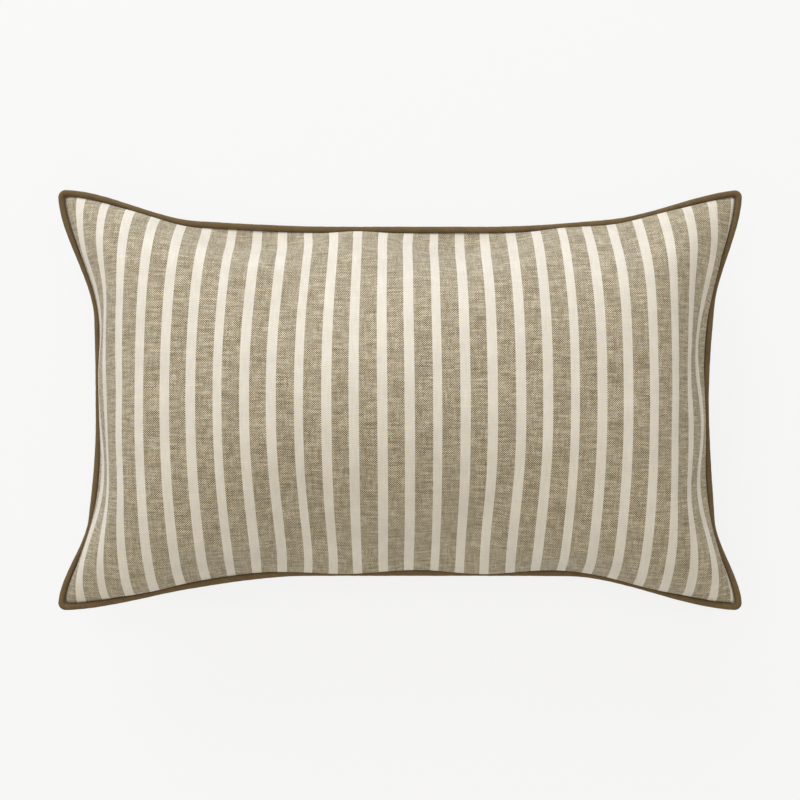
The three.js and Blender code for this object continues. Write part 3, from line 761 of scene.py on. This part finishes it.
# %% Helpers for the trees
class PathTree:
    """A Geometry Nodes tree that takes a path and gives a solid along it."""

    def __init__(self, name, **sizes):
        self.tree = bpy.data.node_groups.new(name, "GeometryNodeTree")
        face = self.tree.interface
        face.new_socket("Path", in_out="INPUT", socket_type="NodeSocketGeometry")
        for label, value in sizes.items():
            face.new_socket(label, in_out="INPUT", socket_type="NodeSocketFloat").default_value = value
        face.new_socket("Finish", in_out="INPUT", socket_type="NodeSocketMaterial")
        face.new_socket("Solid", in_out="OUTPUT", socket_type="NodeSocketGeometry")
        self.inputs = self.tree.nodes.new("NodeGroupInput").outputs
        self.curve = self.add("GeometryNodeMeshToCurve", Mesh=self.inputs["Path"]).outputs[0]

    def add(self, kind, **values):
        node = self.tree.nodes.new(kind)
        for label, value in values.items():
            socket = node.inputs[label.replace("_", " ")]
            self.join(value, socket)
        return node

    def join(self, value, socket):
        if isinstance(value, bpy.types.NodeSocket):
            self.tree.links.new(value, socket)
        else:
            socket.default_value = value

    def sum(self, operation, *values):
        node = self.tree.nodes.new("ShaderNodeMath")
        node.operation = operation
        for value, socket in zip(values, node.inputs):
            self.join(value, socket)
        return node.outputs[0]

    def along(self):
        """The distance from the path's start."""
        return self.add("GeometryNodeSplineParameter").outputs["Length"]

    def end(self, geometry):
        real = self.add("GeometryNodeRealizeInstances", Geometry=geometry).outputs[0]
        smooth_faces = self.add("GeometryNodeSetShadeSmooth", Geometry=real).outputs[0]
        finished = self.add("GeometryNodeSetMaterial", Geometry=smooth_faces, Material=self.inputs["Finish"])
        self.tree.links.new(finished.outputs[0], self.tree.nodes.new("NodeGroupOutput").inputs[0])

    def lay(self, name, paths, finish, closed=False, **sizes):
        """Runs the tree along one or more paths and gives the result as a plain piece."""
        verts, edges = [], []
        for path in paths:
            first, count = len(verts), len(path)
            verts += [tuple(p) for p in path]
            edges += [(first + i, first + (i + 1) % count) for i in range(count if closed else count - 1)]
        mesh = bpy.data.meshes.new(name + "_path")
        mesh.from_pydata(verts, edges, [])
        path_object = bpy.data.objects.new(name + "_path", mesh)
        scene.collection.objects.link(path_object)
        nodes = path_object.modifiers.new("nodes", "NODES")
        nodes.node_group = self.tree
        sockets = {item.name: item.identifier for item in self.tree.interface.items_tree if item.in_out == "INPUT"}
        for label, value in sizes.items():
            nodes[sockets[label]] = value
        nodes[sockets["Finish"]] = finish
        evaluated = path_object.evaluated_get(bpy.context.evaluated_depsgraph_get())
        result = bpy.data.meshes.new_from_object(evaluated)
        bpy.data.objects.remove(path_object)
        piece = bpy.data.objects.new(name, result)
        scene.collection.objects.link(piece)
        return piece


# %% [markdown]
# ## The cord in the piping
# Piping cord is three cotton strands laid round each other. Its section is three touching circles, and the
# tree turns that section steadily as it goes along the seam. The number of turns is whole, so the ends of the
# loop meet.

# %% Twisted cord
cord_finish = Finish("strand_cotton", Sheen_Weight=0.2, Specular_IOR_Level=0.2)
x, y, z = cord_finish.on_object()
fuzz = cord_finish.noise(cord_finish.point(x, y, z), 1 / (0.5 * MM), 3.0)
yarn_tone = cord_finish.between(fuzz, 0.3, 0.7, 0.86, 1.08)
cord_cotton = cord_finish.done(cord_finish.shade(from_screen(233, 228, 216), yarn_tone), 0.9, fuzz, 0.1 * MM)

STRAND_RADIUS = 0.66 * MM
twisted = PathTree("twisted_strands", Strand_radius=STRAND_RADIUS, Turn_length=CORD_LAY)
tilt = twisted.sum("MULTIPLY", twisted.sum("DIVIDE", twisted.along(), twisted.inputs["Turn_length"]), 2 * math.pi)
upright = twisted.add("GeometryNodeSetCurveNormal", Curve=twisted.curve)
upright.mode = "Z_UP"
turning = twisted.add("GeometryNodeSetCurveTilt", Curve=upright.outputs[0], Tilt=tilt).outputs[0]
circle = twisted.add("GeometryNodeCurvePrimitiveCircle", Resolution=7, Radius=twisted.inputs["Strand_radius"])
three_circles = twisted.add("GeometryNodeJoinGeometry")
out_from_middle = twisted.sum("MULTIPLY", twisted.inputs["Strand_radius"], 2 / math.sqrt(3))
for strand in range(3):
    angle = strand * 2 * math.pi / 3
    place = twisted.add(
        "ShaderNodeCombineXYZ",
        X=twisted.sum("MULTIPLY", out_from_middle, math.cos(angle)),
        Y=twisted.sum("MULTIPLY", out_from_middle, math.sin(angle)),
    ).outputs[0]
    moved = twisted.add("GeometryNodeTransform", Geometry=circle.outputs[0], Translation=place).outputs[0]
    twisted.tree.links.new(moved, three_circles.inputs[0])
twisted.end(twisted.add("GeometryNodeCurveToMesh", Curve=turning, Profile_Curve=three_circles.outputs[0]).outputs[0])
turn_length = seam_length / round(seam_length / CORD_LAY)
cord = twisted.lay(
    "piping_strands", [centre_line], cord_cotton, closed=True, Strand_radius=STRAND_RADIUS, Turn_length=turn_length
)
hand_over(cord, PILLOW, "cotton_cord", cord_cotton, "piping_cord")

# %% [markdown]
# ## The zip's coils
# A coil zip has no separate teeth: each side is one nylon wire wound into a flat coil, with a thicker head at
# every turn where it would catch the other side. The tree moves the points of a straight path round an
# ellipse, and makes the wire thicker on the side that faces the other coil. The two coils are half a turn
# apart, as when closed, and stop short of the middle, where the slider's web passes.

# %% Two coils
nylon_finish = Finish("coil_nylon", Specular_IOR_Level=0.5)
x, y, z = nylon_finish.on_object()
streak = nylon_finish.noise(nylon_finish.point(x, y, z), 1 / (0.8 * MM), 2.0)
dyed = nylon_finish.shade(from_screen(166, 152, 124), nylon_finish.between(streak, 0.3, 0.7, 0.88, 1.1))
dull = nylon_finish.between(streak, 0.3, 0.7, 0.34, 0.5)
coil_nylon = nylon_finish.done(dyed, dull, streak, 0.02 * MM, 0.3)

PITCH = 1.2 * MM
WIRE_RADIUS = 0.24 * MM
HEAD = 1.35  # how many times thicker the wire is where it would catch
POINTS_A_TURN = 10
wound = PathTree("wound_coil", Pitch=PITCH, Half_depth=1 * MM, Half_height=1 * MM, Wire_radius=WIRE_RADIUS, Start=0.0)
angle = wound.sum("ADD", wound.sum("DIVIDE", wound.along(), wound.inputs["Pitch"]), wound.inputs["Start"])
angle = wound.sum("MULTIPLY", angle, 2 * math.pi)
facing = wound.sum("SINE", angle)
shift = wound.add(
    "ShaderNodeCombineXYZ",
    Y=wound.sum("MULTIPLY", wound.sum("COSINE", angle), wound.inputs["Half_depth"]),
    Z=wound.sum("MULTIPLY", facing, wound.inputs["Half_height"]),
).outputs[0]
thicker = wound.sum("ADD", 1.0, wound.sum("MULTIPLY", wound.sum("MAXIMUM", facing, 0.0), HEAD - 1))
moved = wound.add("GeometryNodeSetPosition", Geometry=wound.curve, Offset=shift).outputs[0]
wire = wound.add("GeometryNodeCurvePrimitiveCircle", Resolution=6, Radius=wound.inputs["Wire_radius"]).outputs[0]
wound.end(
    wound.add("GeometryNodeCurveToMesh", Curve=moved, Profile_Curve=wire, Scale=thicker, Fill_Caps=True).outputs[0]
)


def wound_side(node, side, start):
    """One coil inside the box of its CAD node. side is 1 for the upper one."""
    low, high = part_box(node)
    count = round((high.x - low.x) / PITCH * POINTS_A_TURN) + 1
    path = np.zeros((count, 3))
    path[:, 0] = np.linspace(low.x + WIRE_RADIUS, high.x - WIRE_RADIUS, count)
    path[:, 1:] = (low.y + high.y) / 2, (low.z + high.z) / 2
    reach = (high.z - low.z) / 2 - WIRE_RADIUS
    coil = wound.lay(
        "coil_" + node.rsplit("_", 1)[1], [path], coil_nylon,
        Pitch=PITCH, Half_depth=(high.y - low.y) / 2 - WIRE_RADIUS, Half_height=-side * reach,
        Wire_radius=WIRE_RADIUS, Start=start,
    )
    hand_over(coil, PILLOW, "zip_nylon", coil_nylon, node)


wound_side("zip_coil_upper", 1, 0.0)
wound_side("zip_coil_lower", -1, 0.5)

# %% [markdown]
# ## The zip's tapes
# The coils are sewn to two woven tapes. The upper one goes up and folds in under the piping; the lower one
# hangs down behind the back panel's edge, leaning with its wall. Each is a strip that follows a short line of
# points across, so one helper sweeps such a line along the zip. A zip's tape is woven in a fine twill that
# changes direction in the middle, which is called herringbone.

# %% Herringbone tape
tape_finish = Finish("tape_herringbone", Sheen_Weight=0.1, Sheen_Roughness=0.5, Specular_IOR_Level=0.3)
x, y, _ = tape_finish.on_cloth()
RIB = 0.62 * MM
TURN_OVER = 2.4 * MM
side_of = tape_finish.sum("PINGPONG", y, TURN_OVER)
slant = tape_finish.sum("MULTIPLY", tape_finish.sum("ADD", x, side_of), 2 * math.pi / RIB)
ribs = tape_finish.between(tape_finish.sum("SINE", slant), -1, 1)
fine = tape_finish.between(tape_finish.sum("SINE", tape_finish.sum("MULTIPLY", y, 2 * math.pi / (0.3 * MM))), -1, 1)
weave_height = tape_finish.sum("MULTIPLY_ADD", fine, 0.3, ribs)
# Painted shade: the tape's colour is darkened in the low grooves between the twill's ribs.
painted_groove_shade = tape_finish.between(weave_height, 0.0, 1.2, 0.72, 1.08)
uneven = tape_finish.between(tape_finish.noise(tape_finish.point(x, y), 500, 3.0), 0.3, 0.7, 0.92, 1.08)
tape_colour = tape_finish.shade(tape_finish.shade(from_screen(146, 131, 104), painted_groove_shade), uneven)
herringbone = tape_finish.done(tape_colour, 0.84, weave_height, 0.12 * MM)

TAPE_THICKNESS = 0.5 * MM
TAPE_STEP = 2 * MM


def swept_strip(name, low_x, high_x, line, slack=0.0):
    """A strip along X that follows a line of (y, z) points across."""
    line = np.array(line)
    count = round((high_x - low_x) / TAPE_STEP) + 1
    x = np.linspace(low_x, high_x, count)
    wave = slack * np.sin(x / (17 * MM)) * np.sin(x / (41 * MM) + 1)
    points = np.zeros((count, len(line), 3))
    points[..., 0] = x[:, None]
    points[..., 1] = line[:, 0] + wave[:, None] * np.linspace(0, 1, len(line))
    points[..., 2] = line[:, 1]
    width = np.concatenate([[0], np.cumsum(np.linalg.norm(np.diff(line, axis=0), axis=-1))])
    strip = cloth_mesh(name, points, x - x[0], width)
    thicken(strip, TAPE_THICKNESS, 0)
    print(name, "is mm wide:", round(width[-1] / MM, 1))
    return strip


tape_low, tape_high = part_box("zip_tape_upper")
tape_y = tape_low.y + TAPE_THICKNESS / 2
tape_top = tape_high.z - TAPE_THICKNESS / 2
fold = 0.45 * MM
upper_line = [(tape_y, z) for z in np.linspace(tape_low.z, tape_top - fold, 4)]
upper_line += [(tape_y + 0.3 * fold, tape_top - 0.3 * fold)]
upper_line += [(y, tape_top) for y in np.linspace(tape_y + fold, tape_y + 7.9 * MM, 6)]
upper_tape = swept_strip("tape_upper", tape_low.x, tape_high.x, upper_line)
low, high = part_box("zip_tape_lower")
lower_line = [(tape_y, high.z), (tape_y, high.z - 0.8 * MM), (tape_y, high.z - 1.5 * MM)]
lower_line += [
    (tape_y + share * (high.y - low.y - TAPE_THICKNESS), high.z - 1.55 * MM - share * 9.15 * MM)
    for share in np.linspace(0.15, 1, 6)
]
lower_tape = swept_strip("tape_lower", low.x, high.x, lower_line)
for tape, node in ((upper_tape, "zip_tape_upper"), (lower_tape, "zip_tape_lower")):
    hand_over(tape, PILLOW, "zip_cloth", herringbone, node)

# %% [markdown]
# ## The slider, its pull and the stops
# These are cast and stamped metal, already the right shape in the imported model. What they lack is the small
# round on every edge that catches the light. So each is copied, its loose triangles are joined, flat faces
# are merged, and a fine bevel rounds the edges. The finish is enamel in the cloth's colour, rubbed through to
# the metal where hands and cloth wear it: along the edges.

# %% Enamelled metal
enamel_finish = Finish("worn_enamel", Specular_IOR_Level=0.5, Coat_Weight=0.25, Coat_Roughness=0.2)
x, y, z = enamel_finish.on_object()
edges = enamel_finish.tree.nodes.new("ShaderNodeNewGeometry").outputs["Pointiness"]
rubbed = enamel_finish.noise(enamel_finish.point(x, y, z), 1 / (0.9 * MM), 4.0)
speckle = enamel_finish.noise(enamel_finish.point(x, y, z), 1 / (0.25 * MM), 2.0)
bare = enamel_finish.between(enamel_finish.sum("MULTIPLY_ADD", rubbed, 0.25, edges), 0.66, 0.72)
enamel_colour = enamel_finish.shade(from_screen(132, 117, 88), enamel_finish.between(speckle, 0.3, 0.7, 0.93, 1.06))
enamel_colour = enamel_finish.mix(bare, enamel_colour, from_screen(176, 172, 164))
enamel_finish.feed(bare, enamel_finish.shader.inputs["Metallic"])
gloss = enamel_finish.between(speckle, 0.3, 0.7, 0.3, 0.44)
enamel = enamel_finish.done(enamel_colour, gloss, speckle, 0.02 * MM, 0.25)


# %% Rounded copies
def rounded_copy(name, nodes, round_by):
    """CAD nodes joined into one piece, with its edges rounded."""
    shape = bmesh.new()
    for node in nodes:
        shape.from_mesh(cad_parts[node].data)
    bmesh.ops.remove_doubles(shape, verts=shape.verts, dist=0.002 * MM)
    bmesh.ops.dissolve_limit(
        shape, angle_limit=math.radians(1), use_dissolve_boundaries=False, verts=shape.verts, edges=shape.edges
    )
    mesh = bpy.data.meshes.new(name)
    shape.to_mesh(mesh)
    shape.free()
    mesh.materials.clear()
    mesh.shade_smooth()
    piece = bpy.data.objects.new(name, mesh)
    scene.collection.objects.link(piece)
    rounding = piece.modifiers.new("rounding", "BEVEL")
    rounding.width = round_by
    rounding.segments = 2
    rounding.limit_method = "ANGLE"
    rounding.angle_limit = math.radians(30)
    rounding.harden_normals = True
    return piece


metal_pieces = {
    "zip_stops": (["zip_bottom_stop", "zip_top_stop_upper", "zip_top_stop_lower"], PILLOW, 0.25),
    "slider_body": (["zip_slider"], "slider", 0.12),
    "pull_tab": (["zip_pull"], "pull", 0.16),
}
for name, (nodes, body, round_by) in metal_pieces.items():
    hand_over(rounded_copy(name, nodes, round_by * MM), body, "zip_metal", enamel, *nodes)

# %% [markdown]
# ## Stitches at the zip
# A row of lockstitches holds the lower tape behind the back panel, and a short, close zigzag, a bar tack,
# locks each end of the opening. A stitch is a thread that dips into the cloth at both ends, so it is a small
# bow with a round section. The tree spaces the bows evenly along the path and turns each to follow it.

# %% Rows of stitches
thread_finish = Finish("sewing_thread", Sheen_Weight=0.15, Specular_IOR_Level=0.4)
x, y, z = thread_finish.on_object()
plies = thread_finish.sum("MULTIPLY", thread_finish.sum("ADD", x, z), 2 * math.pi / (0.35 * MM))
twist = thread_finish.sum("SINE", plies)
# Painted shade: the thread's colour is darkened in the grooves between its twisted plies.
painted_ply_shade = thread_finish.between(twist, -1, 1, 0.78, 1.06)
thread = thread_finish.done(thread_finish.shade(from_screen(150, 134, 104), painted_ply_shade), 0.6, twist, 0.05 * MM)

STITCH = 2.9 * MM
stitched = PathTree("row_of_stitches", Spacing=3.2 * MM, Stitch_length=STITCH, Thread_radius=0.19 * MM, Rise=0.22 * MM)
spaced = stitched.add("GeometryNodeResampleCurve", Curve=stitched.curve)
spaced.mode = "LENGTH"
stitched.join(stitched.inputs["Spacing"], spaced.inputs["Length"])
half_stitch = stitched.sum("MULTIPLY", stitched.inputs["Stitch_length"], 0.5)
sunk = stitched.sum("MULTIPLY", stitched.inputs["Rise"], -0.6)
bow_ends = [
    stitched.add("ShaderNodeCombineXYZ", X=stitched.sum("MULTIPLY", half_stitch, sign), Z=sunk).outputs[0]
    for sign in (-1, 1)
]
bow_top = stitched.add("ShaderNodeCombineXYZ", Z=stitched.sum("MULTIPLY", stitched.inputs["Rise"], 2.2)).outputs[0]
bow = stitched.add("GeometryNodeCurveQuadraticBezier", Resolution=5, Start=bow_ends[0], Middle=bow_top, End=bow_ends[1])
thread_ring = stitched.add("GeometryNodeCurvePrimitiveCircle", Resolution=6, Radius=stitched.inputs["Thread_radius"])
one_stitch = stitched.add(
    "GeometryNodeCurveToMesh", Curve=bow.outputs[0], Profile_Curve=thread_ring.outputs[0], Fill_Caps=True
).outputs[0]
follow = stitched.add("FunctionNodeAlignRotationToVector", Vector=stitched.add("GeometryNodeInputTangent").outputs[0])
follow.axis = "X"
outwards = stitched.add("FunctionNodeAlignRotationToVector", Rotation=follow.outputs[0], Vector=(0, -1, -0.25))
outwards.axis = "Z"
outwards.pivot_axis = "X"
stitched.end(
    stitched.add(
        "GeometryNodeInstanceOnPoints", Points=spaced.outputs[0], Instance=one_stitch, Rotation=outwards.outputs[0]
    ).outputs[0]
)

# %% Where the stitches go
edge_x = back_points[:, 0, 0]
in_zip = (edge_x > OPENING[0]) & (edge_x < OPENING[1])
OUTSIDE = np.array([0, -0.12, -0.03]) * MM  # lifts a path off the back panel's wall
hem_row = back_points[in_zip, OPEN_ROWS + 1] + OUTSIDE


def down_the_wall(column, shift):
    """A short path across the opening's end, from near the seam to below the opening's edge."""
    rows = np.linspace(0.5, OPEN_ROWS + 0.9, 6)
    line = [np.interp(rows, np.arange(CELLS[1] + 1), back_points[column, :, axis]) for axis in range(3)]
    return np.stack(line, -1) + OUTSIDE + np.array([shift, 0, 0])


first, last = np.flatnonzero(in_zip)[[0, -1]]
tacks = [down_the_wall(first, -shift * MM) for shift in (1.2, 1.9, 2.6)]
tacks += [down_the_wall(last, shift * MM) for shift in (1.2, 1.9, 2.6)]
hem = stitched.lay("zip_stitches", [hem_row], thread, Spacing=3.2 * MM, Stitch_length=STITCH)
hand_over(hem, PILLOW, "zip_cloth", thread)
bars = stitched.lay("bar_tacks", tacks, thread, Spacing=1.9 * MM, Stitch_length=1.9 * MM)
hand_over(bars, PILLOW, "zip_cloth", thread)

# %% [markdown]
# ## The care label
# A care label is a ribbon of satin folded in two, with its cut ends caught in the seam and its fold hanging
# free. It is left blank here. The model's label gives the place of its four corners; the ribbon goes down
# one side of that sheet, round a small fold, and up the other, and its free end stands off the cloth a bit.

# %% A folded ribbon
RIBBON = 0.18 * MM  # the ribbon's own thickness
FOLD_RADIUS = 0.2 * MM
label_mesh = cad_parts["care_label"].data
corners = np.array([v.co for v in label_mesh.vertices])
outer_left = corners[np.argmin(corners[:, 0] + corners[:, 1])]
label_low, label_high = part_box("care_label")
label_run = np.array([label_high.x - label_low.x - 0.8 * MM, label_high.y - label_low.y - 0.8 * MM, 0])
tilt_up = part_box("care_label")[1].z - corners[:, 2][corners[:, 0] < outer_left[0] + 0.1 * MM].max()
label_width = np.linalg.norm(label_run[:2])
outwards_from_label = np.array([label_run[1], -label_run[0], 0]) / label_width
top_left = np.array([outer_left[0], outer_left[1], label_high.z - tilt_up]) - outwards_from_label * 0.3 * MM
drop = label_high.z - tilt_up - label_low.z - FOLD_RADIUS


RIBBON_KICK = 1.6 * MM  # how far the fold stands out from the cut ends
RIBBON_CURL = 0.25 * MM


def ribbon_line():
    """(out, down) along the folded ribbon, from one cut end round the fold to the other."""
    down = np.linspace(0, drop, 9)
    turn = np.linspace(0, math.pi, 7)[1:-1]
    inner = np.stack([0 * down - FOLD_RADIUS, down], -1)
    bend = np.stack([-FOLD_RADIUS * np.cos(turn), drop + FOLD_RADIUS * np.sin(turn)], -1)
    outer = np.stack([0 * down + FOLD_RADIUS, down], -1)[::-1]
    return np.concatenate([inner, bend, outer])


line = ribbon_line()
line[:, 0] += RIBBON_KICK * np.clip(line[:, 1] / drop, 0, 1) ** 2
across_label = np.linspace(0, 1, 16)
curl = RIBBON_CURL * np.sin(across_label * math.pi * 1.3)
ribbon = top_left + across_label[:, None, None] * (label_run + np.array([0, 0, tilt_up]))
ribbon = ribbon + outwards_from_label * (line[:, 0] + curl[:, None] * (line[:, 1] / drop))[..., None]
ribbon = ribbon - np.array([0, 0, 1]) * line[:, 1][:, None]
ribbon_place = np.concatenate([[0], np.cumsum(np.linalg.norm(np.diff(line, axis=0), axis=-1))])
label = cloth_mesh("label_ribbon", ribbon, across_label * label_width, ribbon_place)
thicken(label, RIBBON, 0)
round_off(label)
hand_over(label, PILLOW, "label_tape", satin, "care_label")
print("label ribbon in mm:", round(label_width / MM, 1), "x", round(ribbon_place[-1] / MM, 1))

# %% [markdown]
# ## The insert
# Inside the cover is a second, plain pillow: cotton ticking round a filling of fibre. It is a little smaller
# than the cover and takes its shape, so its two panels are the cover's own, drawn in to the insert's size.
# The filling is the same form once more, closed and a little lumpy, as teased fibre is.

# %% Ticking panels
cover_reach = np.array([front_points[..., 0].max(), front_points[..., 1].max()])
CASING_THICKNESS = 0.5 * MM
CASING_GAP, CASING_SEAM_GAP = 2.4 * MM, 0.3 * MM  # room under the crown, and each panel's from the seam's plane
INSERT_CLOTH = (0.55, 0.34)  # flat size of each panel, metres


def inside_cover(points, side, node, gap, seam_gap):
    """The cover's panel drawn in to the size of a node of the insert."""
    low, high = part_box(node)
    height = points[..., 2] - side * SEAM_LAYER - seam_height
    drawn = points.copy()
    drawn[..., 0] *= high.x / cover_reach[0]
    drawn[..., 1] *= high.y / cover_reach[1]
    drawn[..., 2] = seam_height + height * (1 - gap / seam_height) + side * seam_gap
    return drawn


insert_along, insert_across = (np.linspace(0, INSERT_CLOTH[axis], CELLS[axis] + 1) for axis in (0, 1))
casing_sides = {"insert_front": (front_points, 1), "insert_back": (back_points, -1)}
for name, (points, side) in casing_sides.items():
    node = "insert_casing_" + name.rsplit("_", 1)[1]
    drawn = inside_cover(points, side, node, CASING_GAP, CASING_SEAM_GAP)
    casing = cloth_mesh(name, drawn, insert_along, insert_across, turned=side < 0)
    round_off(casing)
    thicken(casing, CASING_THICKNESS, -1)
    hand_over(casing, PILLOW, "insert_cotton", ticking, node)

# %% Fibre filling
fibre_finish = Finish("teased_fibre", Sheen_Weight=0.3, Sheen_Roughness=0.6, Specular_IOR_Level=0.15)
x, y, z = fibre_finish.on_object()
curls = fibre_finish.noise(fibre_finish.point(x, fibre_finish.sum("MULTIPLY", y, 0.35), z), 1 / (2.5 * MM), 6.0)
fibre_tone = fibre_finish.between(curls, 0.25, 0.75, 0.86, 1.04)
fibres = fibre_finish.done(fibre_finish.shade(from_screen(244, 243, 240), fibre_tone), 0.95, curls, 1.2 * MM, 0.7)

LUMP = 1.2 * MM
FILL_GAP = 4.0 * MM
FILL_GIRTH = 0.7  # nominal length of the way round, metres
fill_front = inside_cover(front_points, 1, "insert_fill", FILL_GAP, 0)
fill_back = inside_cover(back_points, -1, "insert_fill", FILL_GAP, 0)
fill_grid = np.concatenate([fill_front, fill_back[:, -2:0:-1]], axis=1)
centre = np.array([0, 0, seam_height])
px, py, pz = (fill_grid[..., axis] / MM for axis in range(3))
lumps = 0.5 + 0.25 * (np.sin(px / 9 + 2 * np.sin(py / 17)) + np.sin(py / 11 + 2 * np.sin(px / 23) + pz / 13))
reach = np.linalg.norm(fill_grid - centre, axis=-1, keepdims=True)
fill_grid = fill_grid - (fill_grid - centre) / reach * (lumps * LUMP)[..., None] * (1 - U[:, :1, None] ** 8)
around = np.linspace(0, FILL_GIRTH, fill_grid.shape[1] + 1)
filling = cloth_mesh("fibre_filling", fill_grid, insert_along, around, round_across=True)
shape = bmesh.new()
shape.from_mesh(filling.data)
bmesh.ops.remove_doubles(shape, verts=shape.verts, dist=0.01 * MM)
print("filling's open edges:", sum(edge.is_boundary for edge in shape.edges))
shape.to_mesh(filling.data)
shape.free()
hand_over(filling, PILLOW, "fibre_fill", fibres, "insert_fill")
